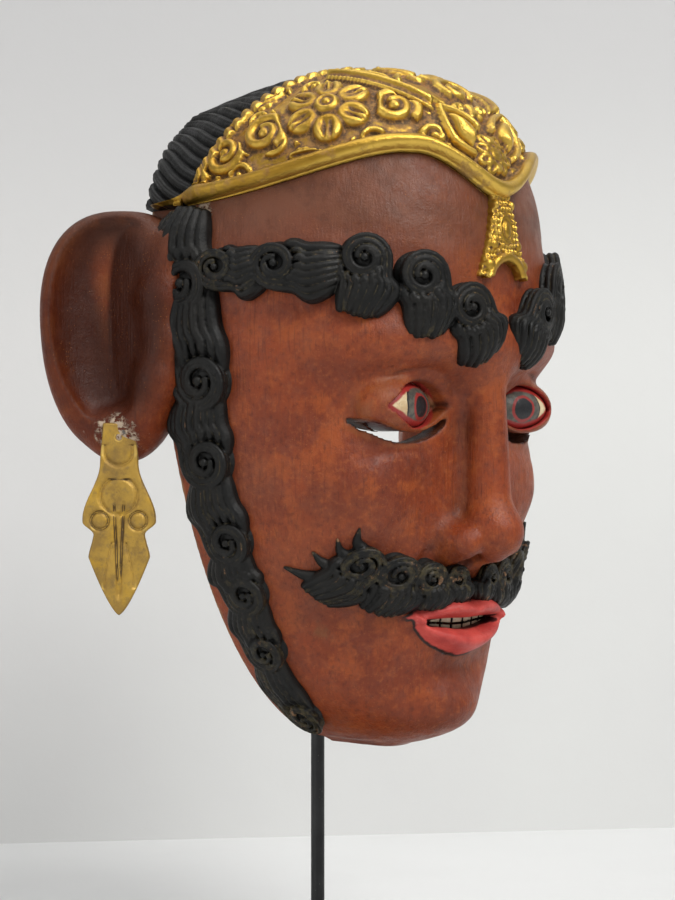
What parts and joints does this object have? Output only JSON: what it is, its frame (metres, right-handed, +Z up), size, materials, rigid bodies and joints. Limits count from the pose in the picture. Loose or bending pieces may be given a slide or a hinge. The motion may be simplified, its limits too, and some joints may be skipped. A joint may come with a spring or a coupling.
{
  "type": "carved wooden dance mask on a display stand",
  "caption": "Carved and painted wooden face mask with gilt floral diadem, curled black hair and leaf earrings, lifting off a black rod stand.",
  "frame": {"origin": "on the table, under the axis of the stand's rod", "axes": "+Z up along the rod; the face looks along -Y, so the wearer's right side is at -X"},
  "size_m": [0.2132, 0.1583, 0.339],
  "materials": {
    "red_brown_wood": "satin red-brown paint over carved wood, worn and darkened in the hollows",
    "black_wood": "matt black paint on carved wood, worn to brown on the ridges",
    "gilt_wood": "gold leaf over ochre ground on carved wood, rubbed, dark in the recesses",
    "gilt_board": "dull gold paint over yellow ground on sawn board",
    "painted_eye": "satin cream, grey, red and black paint in rings",
    "cream_teeth": "worn cream paint with black gaps",
    "strap_leather": "dark worn leather",
    "nail_steel": "dull steel",
    "black_steel": "satin black paint",
    "sleeve_rubber": "matt black rubber tube",
    "black_felt": "black felt"
  },
  "bodies": {
    "base": {"base_plate": "black_steel", "base_felt": "black_felt", "rod_socket": "black_steel", "socket_screw": "nail_steel", "set_screw": "nail_steel"},
    "stand": {"stand_rod": "black_steel", "cross_bar": "black_steel", "prong_right": "black_steel", "prong_left": "black_steel", "prong_sleeve_right": "sleeve_rubber", "prong_sleeve_left": "sleeve_rubber", "stay_arm": "black_steel", "stay_sleeve": "sleeve_rubber"},
    "mask": {"face_shell": "red_brown_wood", "eye_right": "painted_eye", "eye_left": "painted_eye", "teeth": "cream_teeth", "bite_strap": "strap_leather", "strap_nails": "nail_steel", "diadem": "gilt_wood", "hair_cap": "black_wood", "brow_ornament": "gilt_wood", "side_lock_right": "black_wood", "side_lock_left": "black_wood", "eyebrow_right": "black_wood", "eyebrow_left": "black_wood", "moustache_right": "black_wood", "moustache_left": "black_wood", "ear_right": "red_brown_wood", "ear_left": "red_brown_wood", "earring_right": "gilt_board", "earring_left": "gilt_board", "earring_pin_right": "nail_steel", "earring_pin_left": "nail_steel"}
  },
  "joints": [
    {"name": "stand_turn", "type": "hinge", "parent": "base", "child": "stand", "pos_m": [0, 0, 0.02], "axis": [0, 0, 1], "continuous": true},
    {"name": "mask_lift", "type": "slide", "parent": "stand", "child": "mask", "axis": [0, -0.8192, 0.5736], "range_m": [0, 0.16]}
  ]
}
